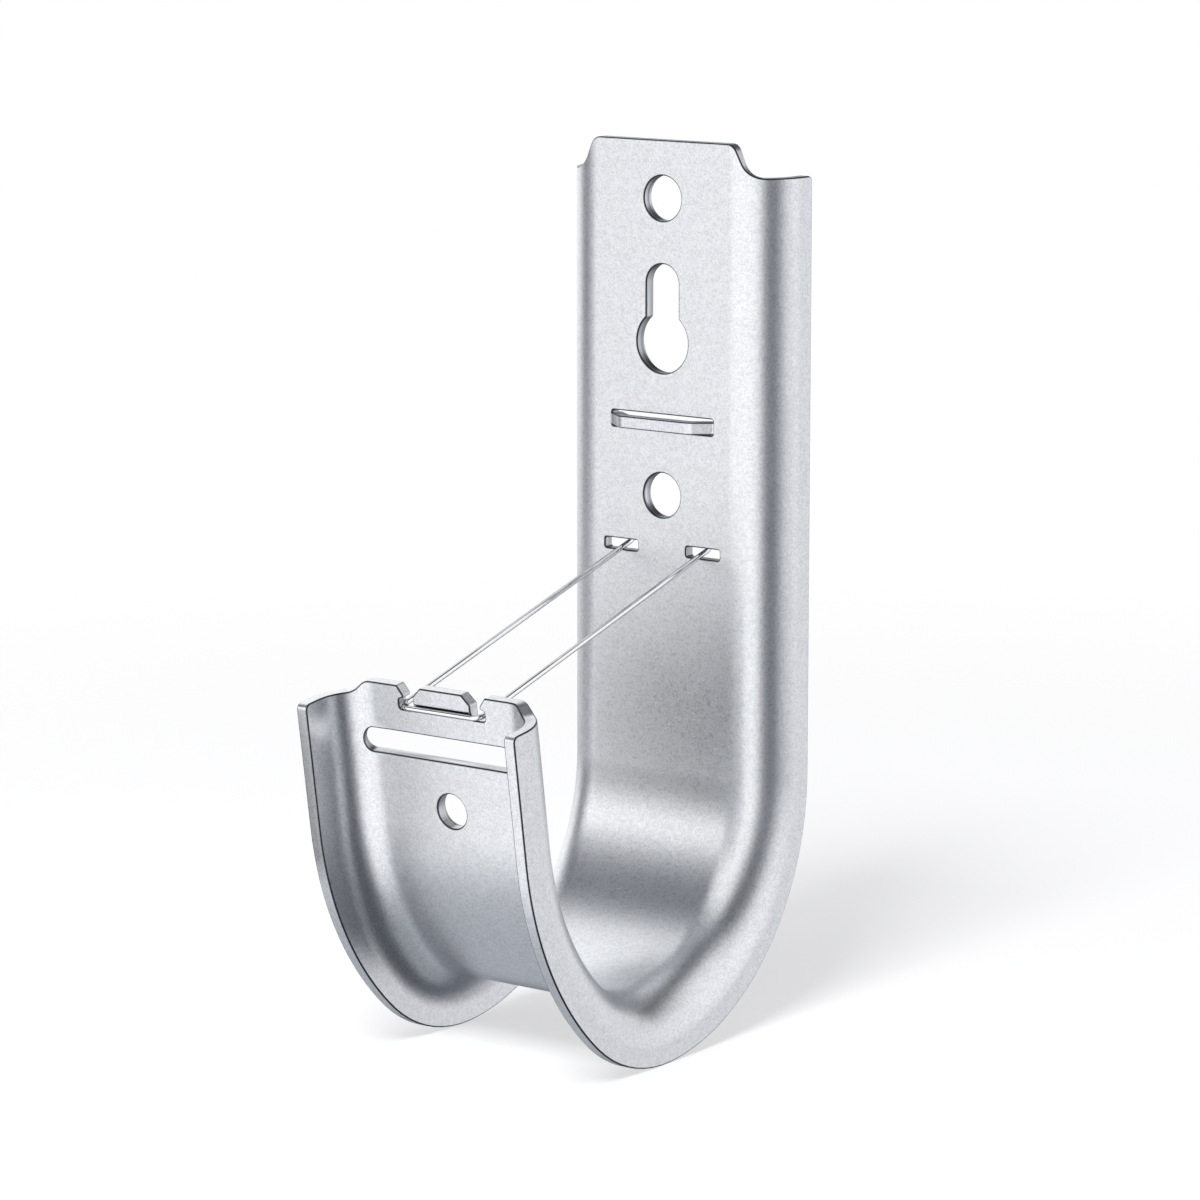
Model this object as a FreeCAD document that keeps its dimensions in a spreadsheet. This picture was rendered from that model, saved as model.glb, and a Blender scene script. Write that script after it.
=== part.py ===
import FreeCAD, Part
import math
import os
import Sketcher

# J hook cable support, millimetres.
# The origin is midway between the two round mounting holes, at the back face of the plate.
# +Z is up, -Y is the cable side with the lip, X runs along the cables.

doc = FreeCAD.newDocument("j_hook_cable_support")
Vector = FreeCAD.Vector

# Driving dimensions, one named cell each

SIZES = {
    # Pressed sheet
    "sheet_thickness": 2.0,
    "overall_width": 41.7,
    "flange_bend_radius": 6.0,        # on the hollow side of the rolled flange
    "flange_depth": 11.0,             # cable-side face to the free edge of the flange
    "flange_corner_radius": 1.0,
    # Tab above the flanges
    "tab_height": 9.1,                # top hole centre to the top edge
    "tab_width": 27.0,
    "tab_base_width": 32.0,
    "tab_flange_drop": 5.2,           # top edge down to the flange tops
    "tab_corner_radius": 2.0,
    "tab_shoulder_radius": 3.8,
    # Holes in the plate, drops measured from the top hole
    "mounting_hole_diameter": 7.1,
    "mounting_hole_spacing": 46.9,
    "keyhole_slot_width": 6.2,
    "keyhole_slot_drop": 13.4,
    "keyhole_entry_diameter": 9.8,
    "keyhole_entry_drop": 22.6,
    # Lanced bridge for a strap
    "bridge_window_drop": 34.05,
    "bridge_window_length": 19.7,
    "bridge_upper_slit": 0.45,
    "bridge_strip_height": 1.95,
    "bridge_lower_slit": 0.15,
    "bridge_rise": 2.4,
    "bridge_ramp_length": 3.1,
    "bridge_bend_radius": 2.2,
    # J bend: three tangent arcs of the cable-side face
    "back_length": 90.85,             # top hole centre to the start of the bend
    "heel_radius": 28.35,
    "heel_angle": 85.8,
    "base_radius": 15.2,
    "base_angle": 45.4,
    "front_radius": 40.6,
    "lip_lean": 8.5,
    # Lip, measured along its face from the end of the bend
    "lip_length": 21.8,
    "lip_crest_width": 30.4,
    "lip_shoulder_width": 34.8,
    "lip_flange_drop": 1.65,
    "lip_crest_radius": 2.5,
    "lip_shoulder_radius": 3.0,
    "strap_slot_length": 32.5,
    "strap_slot_width": 3.8,
    "strap_slot_height": 12.5,
    "lip_hole_diameter": 5.5,
    "lip_hole_height": 2.75,
    # Tongue and snap notches at the lip's top edge
    "tongue_tip_width": 8.0,
    "tongue_width": 11.0,
    "tongue_slant_drop": 1.5,
    "notch_neck_width": 1.45,
    "notch_mouth_width": 4.4,
    "notch_neck_drop": 1.7,
    "pocket_roof_drop": 2.0,
    "pocket_corner_radius": 0.6,
    "bar_recess_depth": 0.25,
    "bar_recess_top_drop": 2.6,
    # Spring wire retainer
    "wire_diameter": 0.85,
    "wire_leg_spacing": 15.1,
    "wire_corner_radius": 1.6,
    "wire_hook_radius": 2.4,          # centre line, around the hinge line
    "wire_foot_length": 3.5,
    "wire_bar_height": 18.6,          # along the lip
    "wire_bar_gap": 0.1,              # bar to the lip's outer face
    "wire_slot_drop": 54.6,           # top hole centre to the top edge of the wire slots
    "wire_slot_inset": 4.7,           # hook's centre to the near end of each slot
    "wire_slot_length": 6.5,
    "wire_running_gap": 0.06,
    "wire_pocket_gap": 0.3,
}

# Worked-out places, each one formula of the cells above

PLACES = {
    "half_width": "sizes.overall_width / 2",
    "top_hole": "sizes.mounting_hole_spacing / 2",
    "top_edge": "places.top_hole + sizes.tab_height",
    "flange_top": "places.top_edge - sizes.tab_flange_drop",
    "flange_back": "sizes.flange_depth - sizes.sheet_thickness",
    "face": "-sizes.sheet_thickness",
    # Ends of the three arcs, as Y and Z of the cable-side face
    "bend_start_z": "places.top_hole - sizes.back_length",
    "heel_end_y": "places.face + sizes.heel_radius * (cos(sizes.heel_angle) - 1)",
    "heel_end_z": "places.bend_start_z - sizes.heel_radius * sin(sizes.heel_angle)",
    "base_end_angle": "sizes.heel_angle + sizes.base_angle",
    "base_end_y": "places.heel_end_y + sizes.base_radius * (cos(places.base_end_angle) - cos(sizes.heel_angle))",
    "base_end_z": "places.heel_end_z - sizes.base_radius * (sin(places.base_end_angle) - sin(sizes.heel_angle))",
    "lip_start_y": "places.base_end_y - sizes.front_radius * (cos(sizes.lip_lean) + cos(places.base_end_angle))",
    "lip_start_z": "places.base_end_z - sizes.front_radius * (sin(sizes.lip_lean) - sin(places.base_end_angle))",
    "lip_end_y": "places.lip_start_y - sizes.lip_length * sin(sizes.lip_lean)",
    "lip_end_z": "places.lip_start_z + sizes.lip_length * cos(sizes.lip_lean)",
    # Bridge window and strip
    "window_top": "places.top_hole - sizes.bridge_window_drop",
    "strip_top": "places.window_top - sizes.bridge_upper_slit",
    "strip_bottom": "places.strip_top - sizes.bridge_strip_height",
    "window_bottom": "places.strip_bottom - sizes.bridge_lower_slit",
    "window_half": "sizes.bridge_window_length / 2",
    "strip_flat_half": "places.window_half - sizes.bridge_ramp_length",
    "strip_mitre": "sizes.sheet_thickness * tan(atan(sizes.bridge_rise / sizes.bridge_ramp_length) / 2)",
    "strip_face": "places.face - sizes.bridge_rise",
    # Retainer: the wire's hook runs on a circle around the hinge line, over the slot's top edges
    "wire_radius": "sizes.wire_diameter / 2",
    "leg_x": "sizes.wire_leg_spacing / 2",
    "hinge_y": "places.face / 2",
    "slot_top": "places.top_hole - sizes.wire_slot_drop",
    "hook_inside": "sizes.wire_hook_radius - places.wire_radius - sizes.wire_running_gap",
    "hinge_z": "places.slot_top + sqrt(places.hook_inside ^ 2 - places.hinge_y ^ 2)",
    "bar_stand_off": "sizes.sheet_thickness + places.wire_radius + sizes.wire_bar_gap",
    "bar_y": "places.lip_start_y - sizes.wire_bar_height * sin(sizes.lip_lean)"
             " - places.bar_stand_off * cos(sizes.lip_lean)",
    "bar_z": "places.lip_start_z + sizes.wire_bar_height * cos(sizes.lip_lean)"
             " - places.bar_stand_off * sin(sizes.lip_lean)",
    "bar_reach": "sqrt((places.hinge_y - places.bar_y) ^ 2 + (places.hinge_z - places.bar_z) ^ 2)",
    "leg_slope": "(atan((places.hinge_z - places.bar_z) / (places.hinge_y - places.bar_y))"
                 " - asin(sizes.wire_hook_radius / places.bar_reach)) / 1 deg",
    "leg_length": "sqrt(places.bar_reach ^ 2 - sizes.wire_hook_radius ^ 2)",
    "leg_start_y": "places.hinge_y + sizes.wire_hook_radius * sin(places.leg_slope)",
    "leg_start_z": "places.hinge_z - sizes.wire_hook_radius * cos(places.leg_slope)",
    "foot_y": "places.hinge_y + sizes.wire_hook_radius",
    "slot_bottom": "places.hinge_z - (sizes.wire_hook_radius + places.wire_radius + sizes.wire_running_gap"
                   " - places.hinge_y * sin(places.leg_slope)) / cos(places.leg_slope)",
    "slot_outer": "sizes.wire_slot_inset + sizes.wire_slot_length",
    # Lip outline, tongue and notches, as X and height along the lip
    "lip_flange_top": "sizes.lip_length - sizes.lip_flange_drop",
    "tongue_side": "sizes.tongue_width / 2",
    "tongue_corner_height": "sizes.lip_length - sizes.tongue_slant_drop",
    "neck_x": "places.tongue_side + sizes.notch_neck_width",
    "mouth_x": "sizes.tongue_tip_width / 2 + sizes.notch_mouth_width",
    "neck_height": "sizes.lip_length - sizes.notch_neck_drop",
    "pocket_roof": "sizes.lip_length - sizes.pocket_roof_drop",
    "pocket_x": "places.leg_x + places.wire_radius + sizes.wire_pocket_gap",
    "leg_tilt": "places.leg_slope - sizes.lip_lean",
    "pocket_floor": "sizes.wire_bar_height"
                    " + (places.wire_radius + sizes.wire_bar_gap) * tan(places.leg_tilt)"
                    " - places.wire_radius / cos(places.leg_tilt) - sizes.wire_pocket_gap / 2",
    "recess_top": "sizes.lip_length - sizes.bar_recess_top_drop",
    "cut_reach": "sizes.flange_depth",
}


def make_sheet(name, cells):
    """Fill a sheet with one cell for each name."""
    sheet = doc.addObject("Spreadsheet::Sheet", name)
    for row, (alias, content) in enumerate(cells.items(), start=1):
        sheet.set(f"A{row}", alias)
        sheet.set(f"B{row}", content)
        sheet.setAlias(f"B{row}", alias)
    doc.recompute()
    return sheet


sizes = make_sheet("sizes", {alias: str(number) for alias, number in SIZES.items()})
places = make_sheet("places", {alias: "=" + formula.replace("places.", "") for alias, formula in PLACES.items()})


def value(expression):
    """Evaluate an expression of the two sheets."""
    result = sizes.evalExpression(expression)
    return float(getattr(result, "Value", result))


def minus(expression):
    return f"-({expression})"


# Sketch helpers

def plane(body, role):
    return next(feature for feature in body.Origin.OriginFeatures if feature.Role == role)


def new_sketch(body, name, role, offset=(None, None, None), tilt=None):
    """Sketch on an origin plane of the body, moved and tilted about its X axis by expressions."""
    sketch = body.newObject("Sketcher::SketchObject", name)
    sketch.AttachmentSupport = [(plane(body, role), "")]
    sketch.MapMode = "FlatFace"
    if tilt:
        turn = FreeCAD.Rotation(Vector(1, 0, 0), value(tilt))
        sketch.AttachmentOffset = FreeCAD.Placement(Vector(0, 0, 0), turn)
        sketch.setExpression(".AttachmentOffset.Rotation.Angle", tilt)
    for axis, expression in zip("xyz", offset):
        if expression:
            sketch.setExpression(f".AttachmentOffset.Base.{axis}", expression)
    return sketch


def pin_point(sketch, geometry, end, x, y):
    """Fix a point of the sketch at two expressions, measured from the sketch's origin."""
    for kind, expression in (("DistanceX", x), ("DistanceY", y)):
        index = sketch.addConstraint(Sketcher.Constraint(kind, -1, 1, geometry, end, value(expression)))
        sketch.setExpression(f"Constraints[{index}]", expression)


def pin_radius(sketch, geometry, radius):
    index = sketch.addConstraint(Sketcher.Constraint("Radius", geometry, value(radius)))
    sketch.setExpression(f"Constraints[{index}]", radius)


def corner_arc(before, corner, after, radius):
    """Tangent points and centre of the arc that rounds one corner, and whether it runs anticlockwise."""
    into = (corner - before).normalize()
    out = (after - corner).normalize()
    turn = math.atan2(into.x * out.y - into.y * out.x, into.dot(out))
    trim = radius * math.tan(abs(turn) / 2)
    left = Vector(-into.y, into.x, 0) * math.copysign(radius, turn)
    start = corner - into * trim
    return start, corner + out * trim, start + left, turn > 0


def draw_outline(sketch, corners):
    """Closed outline through corners (x, y, radius or None), each bound to its expressions."""
    points = [Vector(value(x), value(y), 0) for x, y, _ in corners]
    count = len(corners)
    arcs = {}
    for i, (_, _, radius) in enumerate(corners):
        if radius:
            arcs[i] = corner_arc(points[i - 1], points[i], points[(i + 1) % count], value(radius))
    lines = []
    for i in range(count):
        start = arcs[i][1] if i in arcs else points[i]
        following = (i + 1) % count
        end = arcs[following][0] if following in arcs else points[following]
        lines.append(sketch.addGeometry(Part.LineSegment(start, end)))
    for i, (x, y, radius) in enumerate(corners):
        before, after = lines[i - 1], lines[i]
        if i not in arcs:
            sketch.addConstraint(Sketcher.Constraint("Coincident", before, 2, after, 1))
            pin_point(sketch, after, 1, x, y)
            continue
        start, end, centre, anticlockwise = arcs[i]
        first, last = (start, end) if anticlockwise else (end, start)
        circle = Part.Circle(centre, Vector(0, 0, 1), value(radius))
        arc = sketch.addGeometry(Part.ArcOfCircle(circle, circle.parameter(first), circle.parameter(last)))
        corner = sketch.addGeometry(Part.Point(points[i]), True)
        sketch.addConstraint(Sketcher.Constraint("PointOnObject", corner, 1, before))
        sketch.addConstraint(Sketcher.Constraint("PointOnObject", corner, 1, after))
        sketch.addConstraint(Sketcher.Constraint("Tangent", before, 2, arc, 1 if anticlockwise else 2))
        sketch.addConstraint(Sketcher.Constraint("Tangent", after, 1, arc, 2 if anticlockwise else 1))
        pin_point(sketch, corner, 1, x, y)
        pin_radius(sketch, arc, radius)


def draw_path(sketch, start, steps):
    """Open path of lines and tangent arcs. A step is (x, y) or (x, y, radius, side of the centre)."""
    here = Vector(value(start[0]), value(start[1]), 0)
    here_cells = start
    for step in steps:
        there = Vector(value(step[0]), value(step[1]), 0)
        if len(step) == 2:
            part = sketch.addGeometry(Part.LineSegment(here, there))
            ends = (1, 2)
        else:
            radius, side = step[2], step[3]
            chord = there - here
            height = math.sqrt(value(radius) ** 2 - (chord.Length / 2) ** 2)
            normal = Vector(-chord.y, chord.x, 0).normalize()
            centre = here + chord * 0.5 + normal * (height * side)
            circle = Part.Circle(centre, Vector(0, 0, 1), value(radius))
            first, last = (here, there) if side > 0 else (there, here)
            part = sketch.addGeometry(Part.ArcOfCircle(circle, circle.parameter(first), circle.parameter(last)))
            ends = (1, 2) if side > 0 else (2, 1)
            pin_radius(sketch, part, radius)
        pin_point(sketch, part, ends[0], *here_cells[:2])
        pin_point(sketch, part, ends[1], *step[:2])
        here, here_cells = there, step


def draw_circle(sketch, x, y, diameter):
    circle = sketch.addGeometry(Part.Circle(Vector(value(x), value(y), 0), Vector(0, 0, 1), value(diameter) / 2))
    pin_point(sketch, circle, 3, x, y)
    pin_radius(sketch, circle, f"({diameter}) / 2")


def draw_slot(sketch, ends, width):
    """Round-ended slot between the centres of its two ends, which share one X or one Y."""
    a, b = (Vector(value(x), value(y), 0) for x, y in ends)
    radius = value(width) / 2
    along = (b - a).normalize()
    side = Vector(-along.y, along.x, 0) * radius
    upper = sketch.addGeometry(Part.LineSegment(a + side, b + side))
    lower = sketch.addGeometry(Part.LineSegment(a - side, b - side))
    caps = []
    for centre, first, last in ((a, a + side, a - side), (b, b - side, b + side)):
        circle = Part.Circle(centre, Vector(0, 0, 1), radius)
        caps.append(sketch.addGeometry(Part.ArcOfCircle(circle, circle.parameter(first), circle.parameter(last))))
    sketch.addConstraint(Sketcher.Constraint("Tangent", upper, 1, caps[0], 1))
    sketch.addConstraint(Sketcher.Constraint("Tangent", lower, 1, caps[0], 2))
    sketch.addConstraint(Sketcher.Constraint("Tangent", lower, 2, caps[1], 1))
    sketch.addConstraint(Sketcher.Constraint("Tangent", upper, 2, caps[1], 2))
    pin_radius(sketch, caps[0], f"({width}) / 2")
    for cap, (x, y) in zip(caps, ends):
        pin_point(sketch, cap, 3, x, y)


# Feature helpers

def cut_through(body, sketch, name):
    """Pocket through the whole body on both sides of the sketch, which has to take material away."""
    before = body.Shape.Volume
    pocket = body.newObject("PartDesign::Pocket", name)
    pocket.Profile = sketch
    pocket.Type = "ThroughAll"
    pocket.Midplane = True
    doc.recompute()
    if not body.Shape.Volume < before:
        raise RuntimeError(f"{name} cuts nothing")
    return pocket


def mirror(body, original, name):
    """The same feature on the other side of the hook's middle plane."""
    mirrored = body.newObject("PartDesign::Mirrored", name)
    mirrored.Originals = [original]
    mirrored.MirrorPlane = (plane(body, "YZ_Plane"), [""])
    body.Tip = mirrored
    doc.recompute()
    return mirrored


def sweep(body, profile, path, name):
    pipe = body.newObject("PartDesign::AdditivePipe", name)
    pipe.Profile = profile
    pipe.Spine = path
    doc.recompute()
    return pipe


# J hook: one pressed and folded sheet

hook = doc.addObject("PartDesign::Body", "j_hook")
hook.Label = "j_hook"

LIP_PLANE = ((None, "places.lip_start_z", "-places.lip_start_y"), "sizes.lip_lean")


def lip_sketch(name, offset=LIP_PLANE[0]):
    """Sketch on the lip: X across, Y up along the lip's inner face."""
    return new_sketch(hook, name, "XZ_Plane", offset, LIP_PLANE[1])


def sweep_channel():
    """Channel section with flanges rolled away from the cables, carried along the J."""
    section = new_sketch(hook, "section", "XY_Plane", (None, None, "places.top_edge"))
    wall = "places.half_width - sizes.sheet_thickness"
    outside = "sizes.flange_bend_radius + sizes.sheet_thickness"
    inside = "sizes.flange_bend_radius"
    draw_outline(section, [
        (minus("places.half_width"), "places.flange_back", None),
        (minus("places.half_width"), "places.face", outside),
        ("places.half_width", "places.face", outside),
        ("places.half_width", "places.flange_back", None),
        (wall, "places.flange_back", None),
        (wall, "0", inside),
        (minus(wall), "0", inside),
        (minus(wall), "places.flange_back", None),
    ])
    path = new_sketch(hook, "j_path", "YZ_Plane")
    draw_path(path, ("places.face", "places.top_edge"), [
        ("places.face", "places.bend_start_z"),
        ("places.heel_end_y", "places.heel_end_z", "sizes.heel_radius", -1),
        ("places.base_end_y", "places.base_end_z", "sizes.base_radius", -1),
        ("places.lip_start_y", "places.lip_start_z", "sizes.front_radius", -1),
        ("places.lip_end_y", "places.lip_end_z"),
    ])
    sweep(hook, section, path, "channel")


def shape_tab():
    """Narrow tab at the top, with an S-curve down to each flange top."""
    sketch = new_sketch(hook, "tab_outline", "XZ_Plane")
    above = "places.top_edge + places.cut_reach"
    draw_outline(sketch, [
        ("0", "places.top_edge", None),
        ("sizes.tab_width / 2", "places.top_edge", "sizes.tab_corner_radius"),
        ("sizes.tab_base_width / 2", "places.flange_top", "sizes.tab_shoulder_radius"),
        ("places.half_width + places.cut_reach", "places.flange_top", None),
        ("places.half_width + places.cut_reach", above, None),
        ("0", above, None),
    ])
    mirror(hook, cut_through(hook, sketch, "tab_side"), "tab_sides")


def shape_lip():
    """Lip's crest, with an S-curve down to each flange top."""
    sketch = lip_sketch("lip_outline")
    above = "sizes.lip_length + places.cut_reach"
    draw_outline(sketch, [
        ("0", "sizes.lip_length", None),
        ("sizes.lip_crest_width / 2", "sizes.lip_length", "sizes.lip_crest_radius"),
        ("sizes.lip_shoulder_width / 2", "places.lip_flange_top", "sizes.lip_shoulder_radius"),
        ("places.half_width + places.cut_reach", "places.lip_flange_top", None),
        ("places.half_width + places.cut_reach", above, None),
        ("0", above, None),
    ])
    mirror(hook, cut_through_lip(sketch, "lip_side"), "lip_sides")


def cut_through_lip(sketch, name):
    """Pocket outwards from the lip's inner face only, so that the back plate stays whole."""
    before = hook.Shape.Volume
    pocket = hook.newObject("PartDesign::Pocket", name)
    pocket.Profile = sketch
    pocket.Type = "Length"
    pocket.Reversed = True
    pocket.setExpression("Length", "places.cut_reach * 2")
    doc.recompute()
    if not hook.Shape.Volume < before:
        raise RuntimeError(f"{name} cuts nothing")
    return pocket


def punch_plate():
    """Mounting holes, keyhole and the two wire slots in the back plate."""
    holes = new_sketch(hook, "plate_holes", "XZ_Plane")
    entry = "places.top_hole - sizes.keyhole_entry_drop"
    draw_circle(holes, "0", "places.top_hole", "sizes.mounting_hole_diameter")
    draw_circle(holes, "0", "-places.top_hole", "sizes.mounting_hole_diameter")
    draw_circle(holes, "0", entry, "sizes.keyhole_entry_diameter")
    cut_through_plate(holes, "plate_hole")
    neck = new_sketch(hook, "keyhole_neck_outline", "XZ_Plane")
    draw_slot(neck, [("0", "places.top_hole - sizes.keyhole_slot_drop"), ("0", entry)],
              "sizes.keyhole_slot_width")
    cut_through_plate(neck, "keyhole_neck")
    slot = new_sketch(hook, "wire_slot_outline", "XZ_Plane")
    draw_outline(slot, [
        ("sizes.wire_slot_inset", "places.slot_bottom", None),
        ("places.slot_outer", "places.slot_bottom", None),
        ("places.slot_outer", "places.slot_top", None),
        ("sizes.wire_slot_inset", "places.slot_top", None),
    ])
    mirror(hook, cut_through_plate(slot, "wire_slot"), "wire_slots")


def cut_through_plate(sketch, name):
    """Pocket as deep as twice the sheet on both sides of the plate's back face."""
    before = hook.Shape.Volume
    pocket = hook.newObject("PartDesign::Pocket", name)
    pocket.Profile = sketch
    pocket.Type = "Length"
    pocket.Midplane = True
    pocket.setExpression("Length", "sizes.sheet_thickness * 4")
    doc.recompute()
    if not hook.Shape.Volume < before:
        raise RuntimeError(f"{name} cuts nothing")
    return pocket


def lance_bridge():
    """Strip cut free along both edges and pushed towards the cables as a strap bridge."""
    window = new_sketch(hook, "bridge_window_outline", "XZ_Plane")
    draw_outline(window, [
        (minus("places.window_half"), "places.window_bottom", None),
        ("places.window_half", "places.window_bottom", None),
        ("places.window_half", "places.window_top", None),
        (minus("places.window_half"), "places.window_top", None),
    ])
    cut_through_plate(window, "bridge_window")
    strip = new_sketch(hook, "bridge_strip_outline", "XY_Plane", (None, None, "places.strip_bottom"))
    back_end = "places.window_half - places.strip_mitre"
    back_flat = "places.strip_flat_half - places.strip_mitre"
    inner_radius = "abs(sizes.bridge_bend_radius - sizes.sheet_thickness)"
    draw_outline(strip, [
        (minus("places.window_half"), "places.face", None),
        (minus("places.strip_flat_half"), "places.strip_face", "sizes.bridge_bend_radius"),
        ("places.strip_flat_half", "places.strip_face", "sizes.bridge_bend_radius"),
        ("places.window_half", "places.face", None),
        ("places.window_half", "0", None),
        (back_end, "0", None),
        (back_flat, "-sizes.bridge_rise", inner_radius),
        (minus(back_flat), "-sizes.bridge_rise", inner_radius),
        (minus(back_end), "0", None),
        (minus("places.window_half"), "0", None),
    ])
    pad = hook.newObject("PartDesign::Pad", "bridge_strip")
    pad.Profile = strip
    pad.setExpression("Length", "sizes.bridge_strip_height")
    doc.recompute()


def punch_lip():
    """Strap slot, round hole, the two snap notches and the recess behind the wire bar."""
    slot = lip_sketch("strap_slot_outline")
    half = "(sizes.strap_slot_length - sizes.strap_slot_width) / 2"
    draw_slot(slot, [(minus(half), "sizes.strap_slot_height"), (half, "sizes.strap_slot_height")],
              "sizes.strap_slot_width")
    cut_through_lip(slot, "strap_slot")
    hole = lip_sketch("lip_hole_outline")
    draw_circle(hole, "0", "sizes.lip_hole_height", "sizes.lip_hole_diameter")
    cut_through_lip(hole, "lip_hole")
    notch = lip_sketch("notch_outline")
    above = "sizes.lip_length + places.cut_reach"
    draw_outline(notch, [
        ("sizes.tongue_tip_width / 2", "sizes.lip_length", None),
        ("places.tongue_side", "places.tongue_corner_height", None),
        ("places.tongue_side", "places.pocket_floor", None),
        ("places.pocket_x", "places.pocket_floor", "sizes.pocket_corner_radius"),
        ("places.pocket_x", "places.pocket_roof", "sizes.pocket_corner_radius"),
        ("places.neck_x", "places.pocket_roof", None),
        ("places.neck_x", "places.neck_height", None),
        ("places.mouth_x", "sizes.lip_length", None),
        ("places.mouth_x", above, None),
        ("sizes.tongue_tip_width / 2", above, None),
    ])
    mirror(hook, cut_through_lip(notch, "notch"), "notches")


def press_bar_recess():
    """Shallow recess in the lip's outer face below the tongue, behind the wire bar."""
    face_z = "places.lip_start_z - sizes.sheet_thickness * sin(sizes.lip_lean)"
    face_y = "-places.lip_start_y + sizes.sheet_thickness * cos(sizes.lip_lean)"
    sketch = lip_sketch("bar_recess_outline", (None, face_z, face_y))
    draw_outline(sketch, [
        (minus("places.tongue_side"), "places.pocket_floor", None),
        ("places.tongue_side", "places.pocket_floor", None),
        ("places.tongue_side", "places.recess_top", None),
        (minus("places.tongue_side"), "places.recess_top", None),
    ])
    before = hook.Shape.Volume
    pocket = hook.newObject("PartDesign::Pocket", "bar_recess")
    pocket.Profile = sketch
    pocket.Type = "Length"
    pocket.setExpression("Length", "sizes.bar_recess_depth")
    doc.recompute()
    if not hook.Shape.Volume < before:
        raise RuntimeError("bar_recess cuts nothing")


def corner_edges(shape, y, z):
    """Names of the straight edges along X that pass the point (y, z)."""
    names = []
    for number, edge in enumerate(shape.Edges, start=1):
        box = edge.BoundBox
        across = isinstance(edge.Curve, Part.Line) and box.YLength < 1e-3 and box.ZLength < 1e-3
        if across and abs(box.YMin - y) < 1e-3 and abs(box.ZMin - z) < 1e-3:
            names.append(f"Edge{number}")
    return names


def round_flange_corners():
    """Free corners of the flanges, at the tab and at the lip."""
    lean = math.radians(value("sizes.lip_lean"))
    height, depth = value("places.lip_flange_top"), value("sizes.flange_depth")
    lip_y = value("places.lip_start_y") - height * math.sin(lean) - depth * math.cos(lean)
    lip_z = value("places.lip_start_z") + height * math.cos(lean) - depth * math.sin(lean)
    base = hook.Tip
    names = corner_edges(base.Shape, value("places.flange_back"), value("places.flange_top"))
    names += corner_edges(base.Shape, lip_y, lip_z)
    if not names:
        raise RuntimeError("no flange corner found")
    fillet = hook.newObject("PartDesign::Fillet", "flange_corners")
    fillet.Base = (base, names)
    fillet.setExpression("Radius", "sizes.flange_corner_radius")
    doc.recompute()


sweep_channel()
shape_tab()
punch_plate()
lance_bridge()
shape_lip()
punch_lip()
press_bar_recess()
round_flange_corners()

# Cable retainer: one bent spring wire

retainer = doc.addObject("PartDesign::Body", "cable_retainer")
retainer.Label = "cable_retainer"


def bend_retainer():
    """Two legs and the cross bar in one sloping plane, then a hooked foot on each leg."""
    section = new_sketch(retainer, "wire_section", "XZ_Plane",
                         (None, "places.leg_start_z", "-places.leg_start_y"), "places.leg_slope")
    draw_circle(section, "places.leg_x", "0", "sizes.wire_diameter")
    loop = new_sketch(retainer, "wire_loop_path", "XY_Plane",
                      (None, "places.leg_start_y", "places.leg_start_z"), "places.leg_slope")
    corner_x = "places.leg_x - sizes.wire_corner_radius"
    corner_y = "-places.leg_length + sizes.wire_corner_radius"
    draw_path(loop, ("places.leg_x", "0"), [
        ("places.leg_x", corner_y),
        (corner_x, "-places.leg_length", "sizes.wire_corner_radius", -1),
        (minus(corner_x), "-places.leg_length"),
        (minus("places.leg_x"), corner_y, "sizes.wire_corner_radius", -1),
        (minus("places.leg_x"), "0"),
    ])
    sweep(retainer, section, loop, "wire_loop")
    foot = new_sketch(retainer, "wire_foot_path", "YZ_Plane", (None, None, "places.leg_x"))
    draw_path(foot, ("places.leg_start_y", "places.leg_start_z"), [
        ("places.foot_y", "places.hinge_z", "sizes.wire_hook_radius", 1),
        ("places.foot_y", "places.hinge_z + sizes.wire_foot_length"),
    ])
    mirror(retainer, sweep(retainer, section, foot, "wire_foot"), "wire_feet")


bend_retainer()

# Check every object, then write each piece

doc.recompute()
faults = [item.Name for item in doc.Objects if "Invalid" in item.State or "Error" in item.State]
if faults:
    raise RuntimeError(f"failed objects: {faults}")
os.makedirs("parts", exist_ok=True)
for body in (hook, retainer):
    solid = body.Shape
    if solid.isNull() or not solid.isValid() or len(solid.Solids) != 1:
        raise RuntimeError(f"{body.Label} is not one valid solid")
    solid.exportStep(f"parts/{body.Label}.step")
    box = solid.BoundBox
    print(f"{body.Label}: volume {solid.Volume:.1f} mm3, {box.XLength:.1f} x {box.YLength:.1f} x {box.ZLength:.1f} mm")
print(f"loop width {value('-places.lip_start_y') - value('sizes.sheet_thickness'):.2f} mm,"
      f" hinge line Y {value('places.hinge_y'):.3f} Z {value('places.hinge_z'):.3f} mm,"
      f" leg slope {value('places.leg_slope'):.3f} degrees")
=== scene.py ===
import math

import bpy
import numpy as np
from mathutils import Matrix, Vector
from mathutils.geometry import delaunay_2d_cdt


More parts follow.
